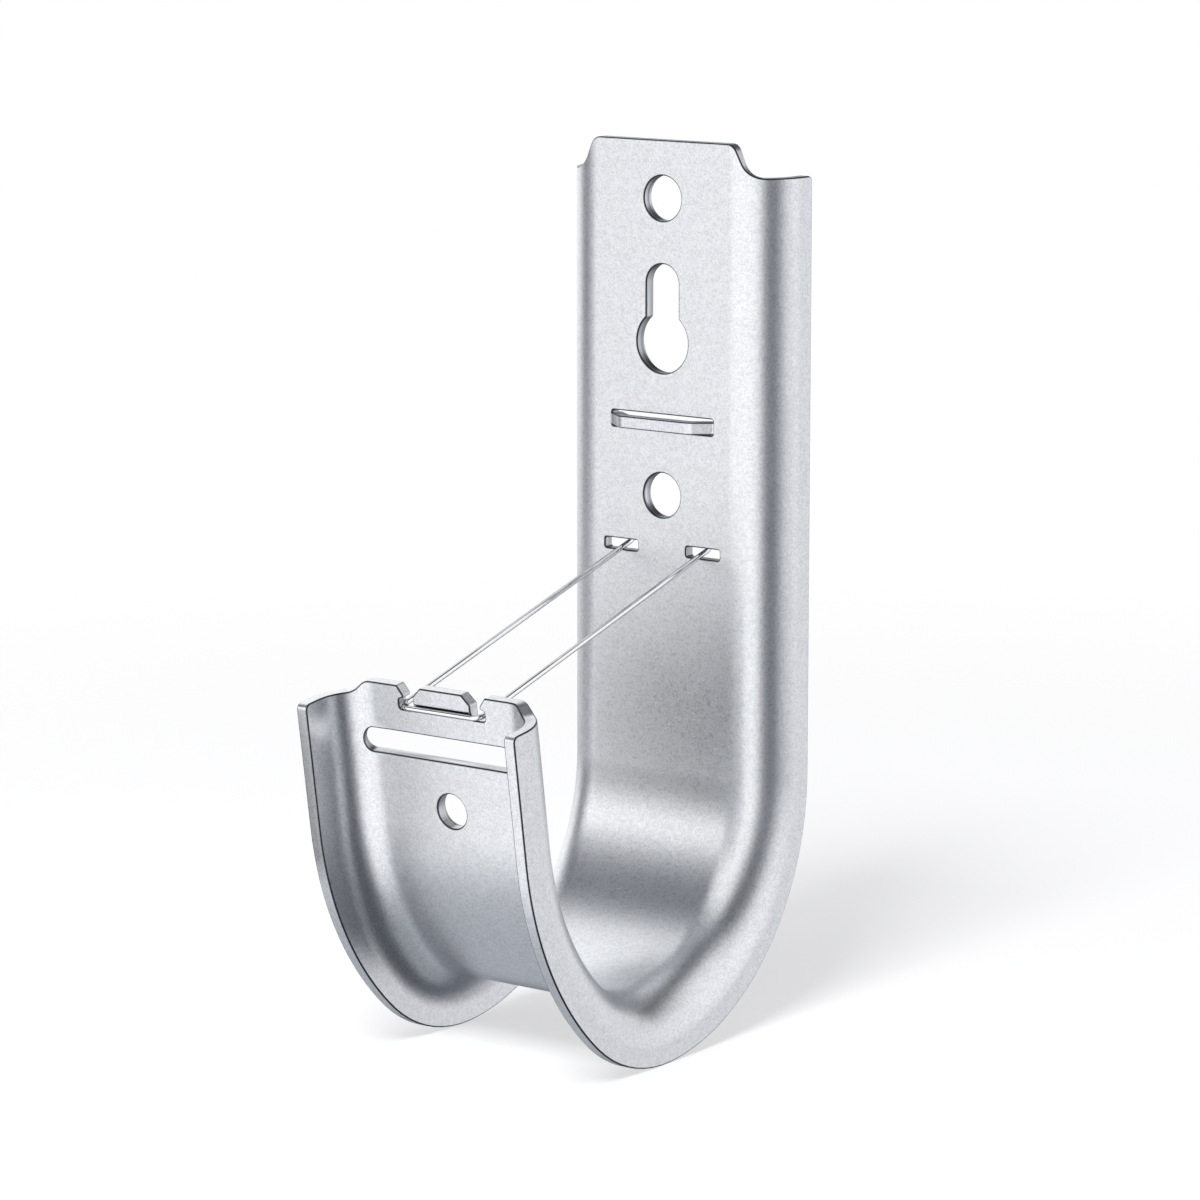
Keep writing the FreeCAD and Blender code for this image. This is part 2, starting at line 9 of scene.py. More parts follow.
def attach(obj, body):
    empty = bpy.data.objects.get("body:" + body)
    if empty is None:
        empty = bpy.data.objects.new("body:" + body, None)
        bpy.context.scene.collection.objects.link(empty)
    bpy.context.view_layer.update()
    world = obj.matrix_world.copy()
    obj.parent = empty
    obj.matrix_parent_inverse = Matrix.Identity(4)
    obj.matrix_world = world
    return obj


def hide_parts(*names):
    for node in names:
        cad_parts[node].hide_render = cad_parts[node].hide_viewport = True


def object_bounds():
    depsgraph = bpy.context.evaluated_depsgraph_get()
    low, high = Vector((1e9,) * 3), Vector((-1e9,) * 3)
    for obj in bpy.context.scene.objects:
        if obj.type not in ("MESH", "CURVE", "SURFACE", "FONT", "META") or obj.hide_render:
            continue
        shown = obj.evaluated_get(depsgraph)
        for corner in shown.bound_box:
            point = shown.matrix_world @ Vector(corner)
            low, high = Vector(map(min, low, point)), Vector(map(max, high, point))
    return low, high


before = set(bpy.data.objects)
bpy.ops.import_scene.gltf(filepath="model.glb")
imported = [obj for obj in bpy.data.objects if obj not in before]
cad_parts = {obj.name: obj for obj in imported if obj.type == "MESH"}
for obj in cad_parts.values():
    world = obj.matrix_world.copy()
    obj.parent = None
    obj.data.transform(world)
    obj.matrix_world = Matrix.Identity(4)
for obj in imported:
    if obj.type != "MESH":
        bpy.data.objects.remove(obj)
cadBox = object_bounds()
print("frame loaded:", sorted(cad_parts))

# Camera: solved from the outlines in the photograph, in the part's own frame

camera = {
    "position": (0.43692, -0.59715, 0.09299),
    "yawDegrees": 37.04,
    "pitchDegrees": 10.23,
    "lensMm": 142.02,
    "sensorMm": 36.0,
    "clip": (0.01, 50.0),
}


def addCamera():
    data = bpy.data.cameras.new("photoCamera")
    data.sensor_width = camera["sensorMm"]
    data.lens = camera["lensMm"]
    data.clip_start, data.clip_end = camera["clip"]
    eye = bpy.data.objects.new("photoCamera", data)
    eye.location = camera["position"]
    eye.rotation_euler = (math.radians(90 - camera["pitchDegrees"]), 0, math.radians(camera["yawDegrees"]))
    bpy.context.scene.collection.objects.link(eye)
    bpy.context.scene.camera = eye


# Hook sheet: flat blank with holes, folded by formula. Sizes in millimetres

sheet = {
    "thickness": 2.0,
    "halfWidth": 20.85,
    "bendRadius": 8.0,          # cable-side face of the rolled flange
    "flangeDepth": 11.0,
    "edgeRadius": 0.25,
    "edgeSteps": 4,
    "topEdge": 32.55,
    "bendStart": -67.4,
    "arcRadii": (28.35, 15.2, 40.6),
    "arcTurns": (85.8, 45.4, 40.3),
    "lipLength": 21.8,
    "arcStep": 0.35,            # point spacing on rounded corners
}

# mesh points inside the blank's edges
grid = {
    "across": 0.75,             # round the flange bends
    "along": 1.3,               # round the J
    "flat": 4.0,
    "flatColumns": 4,
    "firstRow": 2.0,
    "firstCrease": 2.5,
    "seatColumns": 8,           # wire seat in the tongue
    "seatInset": 0.72,
    "rampRows": 4,
    "clear": 0.45,              # room that the points leave beside every edge
    "doubled": 1e-4,
    "weld": 1e-6,
}

tab = {"halfWidth": 13.5, "baseHalf": 16.0, "drop": 5.2, "cornerRadius": 2.0, "shoulderRadius": 3.8,
       "flangeCorner": 1.0}
holes = {"topHole": 23.45, "radius": 3.55, "circlePoints": 72, "keyRadius": 4.9, "keyDrop": 22.6,
         "neckHalf": 3.1, "neckDrop": 13.4, "neckPoints": 36, "keyCorner": 0.4, "cornerPoints": 6}
window = {"halfLength": 9.85, "top": -10.6, "bottom": -13.15, "cornerRadius": 0.35}
strip = {"top": -11.05, "bottom": -13.0, "rise": 2.4, "rampLength": 3.1, "bendRadius": 2.2,
         "edgeRadius": 0.22, "creaseRadius": 0.3, "endRadius": 0.3, "sink": 0.03, "embed": 0.7}
wireSlot = {"inner": 4.7, "outer": 11.2, "top": -31.15, "bottom": -32.84, "cornerRadius": 0.35}
lip = {"crestHalf": 15.2, "shoulderHalf": 17.4, "flangeDrop": 1.65, "crestRadius": 2.5, "shoulderRadius": 3.0,
       "slotHalf": 16.25, "slotRadius": 1.9, "slotCorner": 1.8981, "slotHeight": 12.5,
       "holeRadius": 2.75, "holeHeight": 2.75, "holePoints": 56}
notch = {"tipHalf": 4.0, "tongueHalf": 5.5, "slantDrop": 1.5, "neckX": 6.95, "mouthX": 8.4,
         "roofDrop": 2.0, "pocketX": 8.275, "pocketFloor": 18.08, "corner": 0.4, "pocketCorner": 0.5}
# wire seat across the tongue's root; its last value sets how dark the painted shade in the seat is
recess = {"depth": 0.25, "low": 18.08, "high": 19.2, "ramp": 0.12, "sideRoom": 0.01, "paintedSeatShade": 0.5}
holeMark = 2.0    # added to the wall's map in a hole, so that the material can tell it from the outline's


def spineTable():
    # start lengths and start angles of the five runs of the J, seen from the side
    turns = np.radians(sheet["arcTurns"])
    radii = np.array(sheet["arcRadii"])
    lengths = np.concatenate([[sheet["topEdge"] - sheet["bendStart"]], radii * turns, [sheet["lipLength"]]])
    starts = np.concatenate([[0.0], np.cumsum(lengths)])
    angles = np.concatenate([[0.0], [0.0], np.cumsum(turns)])
    return starts, angles


runStarts, runAngles = spineTable()
lipStart = runStarts[4]


def spineAt(s):
    # point, tangent and outward normal on the cable-side face at arc length s from the top edge.
    # straight run: start + s * tangent. arc: centre + radius * (cos a, -sin a), a = start angle + s / radius
    s = np.asarray(s, float)
    radii = np.array(sheet["arcRadii"])
    normal = lambda a: np.stack([np.cos(a), -np.sin(a)], axis=-1)
    tangent = lambda a: np.stack([-np.sin(a), -np.cos(a)], axis=-1)
    point = np.zeros(s.shape + (2,))
    angle = np.zeros(s.shape)
    here = np.array([-sheet["thickness"], sheet["topEdge"]])
    inRun = s <= runStarts[1]
    point[inRun] = here + s[inRun][:, None] * tangent(0.0)
    here = here + runStarts[1] * tangent(0.0)
    for k, radius in enumerate(radii):
        inRun = (s > runStarts[k + 1]) & (s <= runStarts[k + 2])
        centre = here - radius * normal(runAngles[k + 1])
        angle[inRun] = runAngles[k + 1] + (s[inRun] - runStarts[k + 1]) / radius
        point[inRun] = centre + radius * normal(angle[inRun])
        here = centre + radius * normal(runAngles[k + 2])
    inRun = s > lipStart
    angle[inRun] = runAngles[4]
    point[inRun] = here + (s[inRun] - lipStart)[:, None] * tangent(runAngles[4])
    return point, tangent(angle), normal(angle)


webHalf = sheet["halfWidth"] - sheet["bendRadius"]
flatEdge = webHalf + sheet["bendRadius"] * math.pi / 2
blankHalf = flatEdge + sheet["flangeDepth"] - sheet["bendRadius"]


def unroll(x):
    # width on the blank of a point seen at x from the front: x on the web, arc length on the bend
    over = np.clip((np.abs(x) - webHalf) / sheet["bendRadius"], 0, 1)
    return np.sign(x) * (np.minimum(np.abs(x), webHalf) + sheet["bendRadius"] * np.arcsin(over))


def recessAt(u, s):
    # depth of the wire seat across the tongue's root on the lip's outer face, and its slope along s
    q = s - lipStart
    rise = np.clip((q - recess["low"]) / recess["ramp"], 0, 1)
    fall = np.clip((recess["high"] - q) / recess["ramp"], 0, 1)
    inside = np.abs(u) <= notch["tongueHalf"] + recess["sideRoom"]
    smooth = lambda k: k * k * (3 - 2 * k)
    slope = lambda k: 6 * k * (1 - k) / recess["ramp"]
    depth = recess["depth"] * smooth(rise) * smooth(fall) * inside
    change = recess["depth"] * (slope(rise) * smooth(fall) - smooth(rise) * slope(fall)) * inside
    return depth, change


def fold(u, s, depth, outU=None, outS=None, outShare=None):
    # blank point (u, s) at a depth under the cable-side face, folded round the flange bend and the J.
    # across: web, then quarter arc, then straight flange. along: point on the spine plus height on its
    # normal. the normal is the share of the rim's own outward direction plus the rest of the face's direction
    side = np.where(u < 0, -1.0, 1.0)
    theta = np.clip((np.abs(u) - webHalf) / sheet["bendRadius"], 0, math.pi / 2)
    beyond = np.maximum(np.abs(u) - flatEdge, 0)
    x = np.minimum(np.abs(u), webHalf) + sheet["bendRadius"] * np.sin(theta)
    h = sheet["bendRadius"] * (1 - np.cos(theta)) + beyond
    point, along, outward = spineAt(s)
    onBack = depth > sheet["thickness"] / 2
    seat, seatSlope = recessAt(u, s)
    depth = depth - seat * onBack
    x, h = side * (x - depth * np.sin(theta)), h + depth * np.cos(theta)
    place = np.stack([x, point[..., 0] + outward[..., 0] * h, point[..., 1] + outward[..., 1] * h], axis=-1)
    inX, inH = -side * np.sin(theta), np.cos(theta)
    inward = np.stack([inX, outward[..., 0] * inH, outward[..., 1] * inH], axis=-1)
    face = np.where(onBack[..., None], inward, -inward)
    tangentS = np.stack([np.zeros_like(x), along[..., 0], along[..., 1]], axis=-1)
    face = face + tangentS * (seatSlope * onBack)[..., None]
    if outU is not None:
        acrossX, acrossH = np.cos(theta), side * np.sin(theta)
        tangentU = np.stack([acrossX, outward[..., 0] * acrossH, outward[..., 1] * acrossH], axis=-1)
        rim = tangentU * outU[..., None] + tangentS * outS[..., None]
        face = face * np.sqrt(1 - outShare ** 2)[..., None] + rim * outShare[..., None]
    return place, face / np.linalg.norm(face, axis=-1, keepdims=True)


def roundedLoop(corners):
    # closed loop through corners (a, b, radius): straight runs and arcs tangent to both neighbours.
    # returns points and unit directions of travel
    corner = np.array([c[:2] for c in corners], float)
    radius = np.array([c[2] for c in corners], float)
    into = corner - np.roll(corner, 1, axis=0)
    into /= np.linalg.norm(into, axis=1, keepdims=True)
    out = np.roll(into, -1, axis=0)
    turn = np.arctan2(into[:, 0] * out[:, 1] - into[:, 1] * out[:, 0], (into * out).sum(1))
    trim = radius * np.tan(np.abs(turn) / 2)
    points, directions = [], []
    for k in range(len(corners)):
        count = max(4, int(abs(turn[k]) * radius[k] / sheet["arcStep"]) + 2)
        sweep = np.linspace(0, turn[k], count)
        left = np.array([-into[k, 1], into[k, 0]]) * np.sign(turn[k])
        centre = corner[k] - into[k] * trim[k] + left * radius[k]
        cosine, sine = np.cos(sweep)[:, None], np.sin(sweep)[:, None]
        direction = into[k] * cosine + np.array([-into[k, 1], into[k, 0]]) * sine
        reach = np.stack([direction[:, 1], -direction[:, 0]], axis=1) * np.sign(turn[k])
        points.append(centre + reach * radius[k])
        directions.append(direction)
    return np.concatenate(points), np.concatenate(directions)


def circleLoop(s, radius, count):
    # circle on the blank's middle line
    angle = np.linspace(0, 2 * math.pi, count, endpoint=False)
    points = np.stack([radius * np.cos(angle), s + radius * np.sin(angle)], axis=1)
    return points, np.stack([-np.sin(angle), np.cos(angle)], axis=1)


def rectangleLoop(near, far, k):
    # rectangle with rounded corners, given by its sides and its top and bottom heights
    low, high, radius = sheet["topEdge"] - k["bottom"], sheet["topEdge"] - k["top"], k["cornerRadius"]
    return roundedLoop([(near, low, radius), (near, high, radius), (far, high, radius), (far, low, radius)])


def splitLong(points, directions, longest):
    # extra points on runs that are longer than the grid, so that a folded edge stays on its curve
    following = np.roll(points, -1, axis=0)
    gap = np.linalg.norm(following - points, axis=1)
    pieces = np.maximum(1, np.ceil(gap / longest).astype(int))
    owner = np.repeat(np.arange(len(points)), pieces)
    first = np.repeat(np.cumsum(pieces) - pieces, pieces)
    share = ((np.arange(len(owner)) - first) / pieces[owner])[:, None]
    onRun = (following - points)[owner] / np.maximum(gap, 1e-9)[owner][:, None]
    direction = np.where(share > 0, onRun, directions[owner])
    return points[owner] * (1 - share) + following[owner] * share, direction


def blankLoops():
    # the outline first, then every hole. the metal lies to the left of each direction of travel
    t, n, w, k = tab, notch, window, wireSlot
    crest = lipStart + sheet["lipLength"]
    shoulder = crest - lip["flangeDrop"]
    pocketRoof, pocketFloor = crest - n["roofDrop"], lipStart + n["pocketFloor"]
    right = [
        (t["halfWidth"], 0, t["cornerRadius"]),
        (t["baseHalf"], t["drop"], t["shoulderRadius"]),
        (blankHalf, t["drop"], t["flangeCorner"]),
        (blankHalf, shoulder, t["flangeCorner"]),
        (lip["shoulderHalf"], shoulder, lip["shoulderRadius"]),
        (lip["crestHalf"], crest, lip["crestRadius"]),
        (n["mouthX"], crest, n["corner"]),
        (n["neckX"], pocketRoof, n["corner"]),
        (n["pocketX"], pocketRoof, n["pocketCorner"]),
        (n["pocketX"], pocketFloor, n["pocketCorner"]),
        (n["tongueHalf"], pocketFloor, n["corner"]),
        (n["tongueHalf"], crest - n["slantDrop"], n["corner"]),
        (n["tipHalf"], crest, n["corner"]),
    ]
    points, directions = roundedLoop(right + [(-x, s, radius) for x, s, radius in reversed(right)])
    inBend = np.abs(points[:, 0]) < sheet["halfWidth"]
    points[:, 0] = np.where(inBend, unroll(points[:, 0]), points[:, 0])
    loops = [splitLong(points, directions, grid["along"])]
    for height in (holes["topHole"], -holes["topHole"]):
        loops.append(circleLoop(sheet["topEdge"] - height, holes["radius"], holes["circlePoints"]))
    loops.append(keyholeLoop())
    loops.append(rectangleLoop(-w["halfLength"], w["halfLength"], w))
    loops.append(rectangleLoop(-k["outer"], -k["inner"], k))
    loops.append(rectangleLoop(k["inner"], k["outer"], k))
    middle = lipStart + lip["slotHeight"]
    half, end, radius = lip["slotRadius"], lip["slotHalf"], lip["slotCorner"]
    slot, slotWay = roundedLoop([(-end, middle + half, radius), (-end, middle - half, radius),
                                 (end, middle - half, radius), (end, middle + half, radius)])
    slot[:, 0] = unroll(slot[:, 0])
    loops.append(splitLong(slot, slotWay, grid["flat"]))
    loops.append(circleLoop(lipStart + lip["holeHeight"], lip["holeRadius"], lip["holePoints"]))
    return [orient(points, ways, number == 0) for number, (points, ways) in enumerate(loops)]


def keyholeLoop():
    # large circle with a round-ended neck above it, joined by a small arc outside both
    h = holes
    centre = sheet["topEdge"] - h["topHole"] + h["keyDrop"]
    neckCentre = sheet["topEdge"] - h["topHole"] + h["neckDrop"]
    cornerX = h["neckHalf"] + h["keyCorner"]
    opening = math.asin(cornerX / (h["keyRadius"] + h["keyCorner"]))
    cornerS = centre - (h["keyRadius"] + h["keyCorner"]) * math.cos(opening)
    quarter = math.pi / 2
    # centre, radius, first and last angle, points, and 1 for an arc round the hole or -1 for one outside it
    arcs = [
        (0, centre, h["keyRadius"], opening - quarter, 3 * quarter - opening, h["circlePoints"], 1),
        (-cornerX, cornerS, h["keyCorner"], quarter - opening, 0, h["cornerPoints"], -1),
        (0, neckCentre, h["neckHalf"], math.pi, 2 * math.pi, h["neckPoints"], 1),
        (cornerX, cornerS, h["keyCorner"], math.pi, quarter + opening, h["cornerPoints"], -1),
    ]
    points, ways = [], []
    for x, y, radius, first, last, count, sign in arcs:
        a = np.linspace(first, last, count)
        points.append(np.stack([x + radius * np.cos(a), y + radius * np.sin(a)], axis=1))
        ways.append(np.stack([-np.sin(a), np.cos(a)], axis=1) * sign)
    return np.concatenate(points), np.concatenate(ways)


def orient(points, ways, isOutline):
    # doubled points go. the outline runs with the metal on its left, and so do the holes
    kept = np.linalg.norm(np.roll(points, -1, axis=0) - points, axis=1) > grid["doubled"]
    points, ways = points[kept], ways[kept]
    following = np.roll(points, -1, axis=0)
    area = (points[:, 0] * following[:, 1] - points[:, 1] * following[:, 0]).sum() / 2
    if (area > 0) != isOutline:
        points, ways = points[::-1], -ways[::-1]
    return points, ways


def insideLoops(points, loops):
    # even-odd rule: how many outline runs lie to the right of each point
    crossings = np.zeros(len(points), int)
    px, py = points[:, :1], points[:, 1:]
    for loop, _ in loops:
        following = np.roll(loop, -1, axis=0)
        run = following - loop
        spans = (loop[:, 1] > py) != (following[:, 1] > py)
        with np.errstate(divide="ignore", invalid="ignore"):
            meet = run[:, 0] * (py - loop[:, 1]) / run[:, 1] + loop[:, 0]
        crossings += (spans & (px < meet)).sum(1)
    return crossings % 2 == 1


def gridPoints(loops):
    # inner points of the blank: dense on the bends, sparse on the flats, kept clear of every edge
    k, end = grid, lipStart + sheet["lipLength"]
    bendColumns = int(math.pi / 2 * sheet["bendRadius"] / k["across"])
    columns = np.concatenate([np.linspace(0, webHalf, k["flatColumns"]),
                              np.linspace(webHalf, flatEdge, bendColumns),
                              np.linspace(flatEdge, blankHalf, k["flatColumns"])[:-1]])
    columns = np.unique(np.round(columns, 4))
    columns = np.concatenate([-columns[::-1], columns[1:]])
    rows = np.concatenate([np.arange(k["firstRow"], runStarts[1], k["flat"]),
                           np.arange(runStarts[1], lipStart, k["along"]),
                           np.arange(lipStart, end, k["flat"] / 2)])
    seatHalf = notch["tongueHalf"] - k["seatInset"]
    seatColumns = np.linspace(-seatHalf, seatHalf, k["seatColumns"])
    ramp = np.linspace(0, recess["ramp"], k["rampRows"])
    seatMiddle = (recess["low"] + recess["high"]) / 2
    seatRows = lipStart + np.concatenate([recess["low"] + ramp, [seatMiddle], recess["high"] - ramp])
    # close points where the web meets its bends, so that no face reaches over that line
    creaseRows = np.arange(k["firstCrease"], end, k["along"])
    pairs = [(columns, rows), (seatColumns, seatRows), ([-webHalf, webHalf], creaseRows)]
    points = np.concatenate([np.stack(np.meshgrid(u, s, indexing="ij"), axis=-1).reshape(-1, 2)
                             for u, s in pairs])
    points = np.unique(np.round(points, 4), axis=0)
    points = points[insideLoops(points, loops)]
    keep = np.ones(len(points), bool)
    for loop, _ in loops:
        gap = np.sqrt(((points[:, None, :] - loop[None]) ** 2).sum(-1)).min(1)
        keep &= gap > k["clear"]
    return points[keep]


def rimProfile(thickness, radius, steps):
    # quarter round, straight wall, quarter round: inset from the edge, depth, share of outward direction,
    # and how far round each point is, from 0 on a face to 1 on the cut wall
    a = np.linspace(0, math.pi / 2, steps + 1)
    inset = np.concatenate([radius * (1 - np.sin(a)), radius * (1 - np.cos(a))])
    depth = np.concatenate([radius * (1 - np.cos(a)), thickness - radius + radius * np.sin(a)])
    share = np.concatenate([np.sin(a), np.cos(a)])
    around = np.concatenate([a, a[::-1]]) * 2 / math.pi
    return inset, depth, share, around


def pressedMesh(loops, innerPoints, place, thickness, radius, steps):
    # slab of a flat outline with holes: two faces, and a rounded rim along every loop.
    # rim point = loop point less the inset along its outward direction, at the profile's depth
    inset, depth, share, around = rimProfile(thickness, radius, steps)
    rings = len(inset)
    edge = np.concatenate([points for points, _ in loops])
    way = np.concatenate([ways for _, ways in loops])
    outward = np.stack([way[:, 1], -way[:, 0]], axis=1)    # metal lies left of the direction of travel
    ends = np.cumsum([len(points) for points, _ in loops])
    starts = ends - [len(points) for points, _ in loops]
    rim = edge[None] - outward[None] * inset[:, None, None]
    spread = lambda values: np.broadcast_to(values, rim.shape[:2])
    rimPlaces, rimNormals = place(rim[..., 0], rim[..., 1], spread(depth[:, None]), spread(outward[:, 0]),
                                  spread(outward[:, 1]), spread(share[:, None]))
    insetLoops = [(rim[0, start:end], None) for start, end in zip(starts, ends)]
    inner = innerPoints(insetLoops)
    flat = np.concatenate([rim[0], inner])
    edges = np.concatenate([np.stack([np.arange(a, b), np.roll(np.arange(a, b), -1)], axis=1)
                            for a, b in zip(starts, ends)])
    solved = delaunay_2d_cdt([Vector(point) for point in flat], edges.tolist(), [], 1, grid["weld"])
    origin = np.array([source[0] if source else -1 for source in solved[3]])
    triangles = origin[np.array(solved[2])]
    triangles = triangles[(triangles >= 0).all(1) & insideLoops(flat[triangles].mean(axis=1), insetLoops)]
    count, innerCount = len(edge), len(inner)
    front = place(inner[:, 0], inner[:, 1], np.zeros(innerCount))
    back = place(inner[:, 0], inner[:, 1], np.full(innerCount, thickness))
    places = np.concatenate([rimPlaces.reshape(-1, 3), front[0], back[0]])
    normals = np.concatenate([rimNormals.reshape(-1, 3), front[1], back[1]])
    frontIndex = np.concatenate([np.arange(count), rings * count + np.arange(innerCount)])
    backIndex = np.concatenate([(rings - 1) * count + np.arange(count),
                                rings * count + innerCount + np.arange(innerCount)])
    first, second = edges[:, 0], edges[:, 1]
    rows = np.arange(rings - 1)[:, None] * count
    quads = np.stack([rows + first, rows + second, rows + count + second, rows + count + first], axis=-1)
    faces = [quads.reshape(-1, 4), frontIndex[triangles][:, ::-1], backIndex[triangles]]
    ofHole = np.arange(count) >= ends[0]
    wallMap = (depth / thickness)[:, None] + holeMark * ofHole
    # on the back face, the wire seat gets painted shade, as dark as the painted rim line: it stands for the
    # shadow in the gap between the wire's bar and the tongue
    paintedSeatShade = recess["paintedSeatShade"] * recessAt(inner[:, 0], inner[:, 1])[0] / recess["depth"]
    rimMap = np.concatenate([np.stack([np.repeat(around, count), wallMap.ravel()], axis=1),
                             np.zeros((innerCount, 2)), np.stack([paintedSeatShade, np.zeros(innerCount)], axis=1)])
    return places, normals, rimMap, faces


def stripPlace(x, v, depth, outX=None, outV=None, share=None):
    # plan view of the bridge strip: v is the reach towards the cables, depth runs down from the top edge
    down = np.where(depth > (strip["top"] - strip["bottom"]) / 2, -1.0, 1.0)
    zero = np.zeros_like(x)
    face = np.stack([zero, zero, down], axis=-1)
    if outX is not None:
        rim = np.stack([outX, -outV, zero], axis=-1)
        face = face * np.sqrt(1 - share ** 2)[..., None] + rim * share[..., None]
    return np.stack([x, -v, strip["top"] - depth], axis=-1), face


def stripLoop():
    # plan outline of the lanced strip: flat middle, two ramps, and ends let into the plate
    k, t = strip, sheet["thickness"]
    end, flat = window["halfLength"], window["halfLength"] - k["rampLength"]
    mitre = t * math.tan(math.atan(k["rise"] / k["rampLength"]) / 2)
    half = [(flat, t + k["rise"], k["bendRadius"]), (end, t - k["sink"], k["creaseRadius"]),
            (end + k["embed"], t - k["sink"], k["endRadius"]), (end + k["embed"], k["sink"], k["endRadius"]),
            (end - mitre, k["sink"], k["creaseRadius"]), (flat - mitre, k["rise"], k["creaseRadius"])]
    corners = half + [(-x, v, radius) for x, v, radius in reversed(half)]
    return orient(*roundedLoop(corners), True)


def addMap(mesh, name, values):
    # one pair of map values for each point of the mesh
    ofCorner = np.zeros(len(mesh.loops), int)
    mesh.loops.foreach_get("vertex_index", ofCorner)
    mesh.uv_layers.new(name=name).data.foreach_set("uv", values[ofCorner].ravel())


def addMesh(name, parts):
    # places in millimetres become metres. the normals worked out by formula are kept for shading
    mesh = bpy.data.meshes.new(name)
    before = np.cumsum([0] + [len(part[0]) for part in parts])
    faces = [(group + shift).tolist() for shift, part in zip(before, parts) for group in part[3]]
    places = np.concatenate([part[0] for part in parts]) * 0.001
    normals = np.concatenate([part[1] for part in parts])
    mesh.from_pydata(places.tolist(), [], [face for group in faces for face in group])
    mesh.polygons.foreach_set("use_smooth", np.ones(len(mesh.polygons), bool))
    mesh.normals_split_custom_set_from_vertices(normals.tolist())
    addMap(mesh, "rimMap", np.concatenate([part[2] for part in parts]))
    mesh.update()
    piece = bpy.data.objects.new(name, mesh)
    bpy.context.scene.collection.objects.link(piece)
    print(name, "has", len(mesh.vertices), "points and", len(mesh.polygons), "faces")
    return piece


def addHookSheet():
    k = sheet
    body = pressedMesh(blankLoops(), gridPoints, fold, k["thickness"], k["edgeRadius"], k["edgeSteps"])
    noPoints = lambda loops: np.zeros((0, 2))
    bridge = pressedMesh([stripLoop()], noPoints, stripPlace, strip["top"] - strip["bottom"],
                         strip["edgeRadius"], k["edgeSteps"])
    return addMesh("hookSheet", [body, bridge])


# Retainer wire: one line of runs and arcs with a round section. Sizes in millimetres

wire = {
    "radius": 0.425,
    "legX": 7.55,
    "hinge": (-1.0, -29.516836),   # Y and Z of the hinge line
    "hookRadius": 2.4,
    "slopeDegrees": 16.9196,
    "legLength": 60.3683,
    "cornerRadius": 1.6,
    "footLength": 3.5,
    "around": 28,
    "arcPoints": 20,
    "runStep": 1.0,
    "footPoints": 5,
    "barPoints": 9,
    "endRadius": 0.14,
    "endSteps": 4,
}


def wireLine():
    # centre line from the left foot's end to the right one's, and the direction of the section's first axis
    k = wire
    slope = math.radians(k["slopeDegrees"])
    hingeY, hingeZ = k["hinge"]
    reach, rise = math.cos(slope), math.sin(slope)
    legWay = np.array([0.0, -reach, -rise])
    above = np.array([0.0, -rise, reach])
    start = np.array([0.0, hingeY + k["hookRadius"] * rise, hingeZ - k["hookRadius"] * reach])
    turn = np.linspace(0, slope - math.pi / 2, k["arcPoints"])    # from the foot round to the leg
    hookY = hingeY + k["hookRadius"] * np.cos(turn)
    hookZ = hingeZ + k["hookRadius"] * np.sin(turn)
    foot = np.linspace(k["footLength"], 0, k["footPoints"] + 1)[:-1]
    side = np.concatenate([np.stack([np.full(len(foot), hingeY + k["hookRadius"]), hingeZ + foot], axis=1),
                           np.stack([hookY, hookZ], axis=1)])
    sideUp = np.concatenate([np.tile([-1.0, 0.0], (len(foot), 1)),
                             np.stack([-np.cos(turn), -np.sin(turn)], axis=1)])
    legRun = np.linspace(0, k["legLength"] - k["cornerRadius"], int(k["legLength"] / k["runStep"]))[1:]
    sweep = np.linspace(0, math.pi / 2, k["arcPoints"])[1:]
    cornerX = k["legX"] - k["cornerRadius"] * (1 - np.cos(sweep))
    cornerRun = k["legLength"] - k["cornerRadius"] * (1 - np.sin(sweep))
    barX = np.linspace(k["legX"] - k["cornerRadius"], 0, k["barPoints"] + 1)[1:]
    planX = np.concatenate([np.full(len(legRun), k["legX"]), cornerX, barX])
    planRun = np.concatenate([legRun, cornerRun, np.full(len(barX), k["legLength"])])
    plan = np.column_stack([planX, start[1] + legWay[1] * planRun, start[2] + legWay[2] * planRun])
    leg = np.concatenate([np.column_stack([np.full(len(side), k["legX"]), side]), plan])
    up = np.concatenate([np.column_stack([np.zeros(len(side)), sideUp]), np.tile(above, (len(planX), 1))])
    flip = np.array([-1.0, 1.0, 1.0])
    return np.concatenate([leg * flip, leg[-2::-1]]), np.concatenate([up * flip, up[-2::-1]])


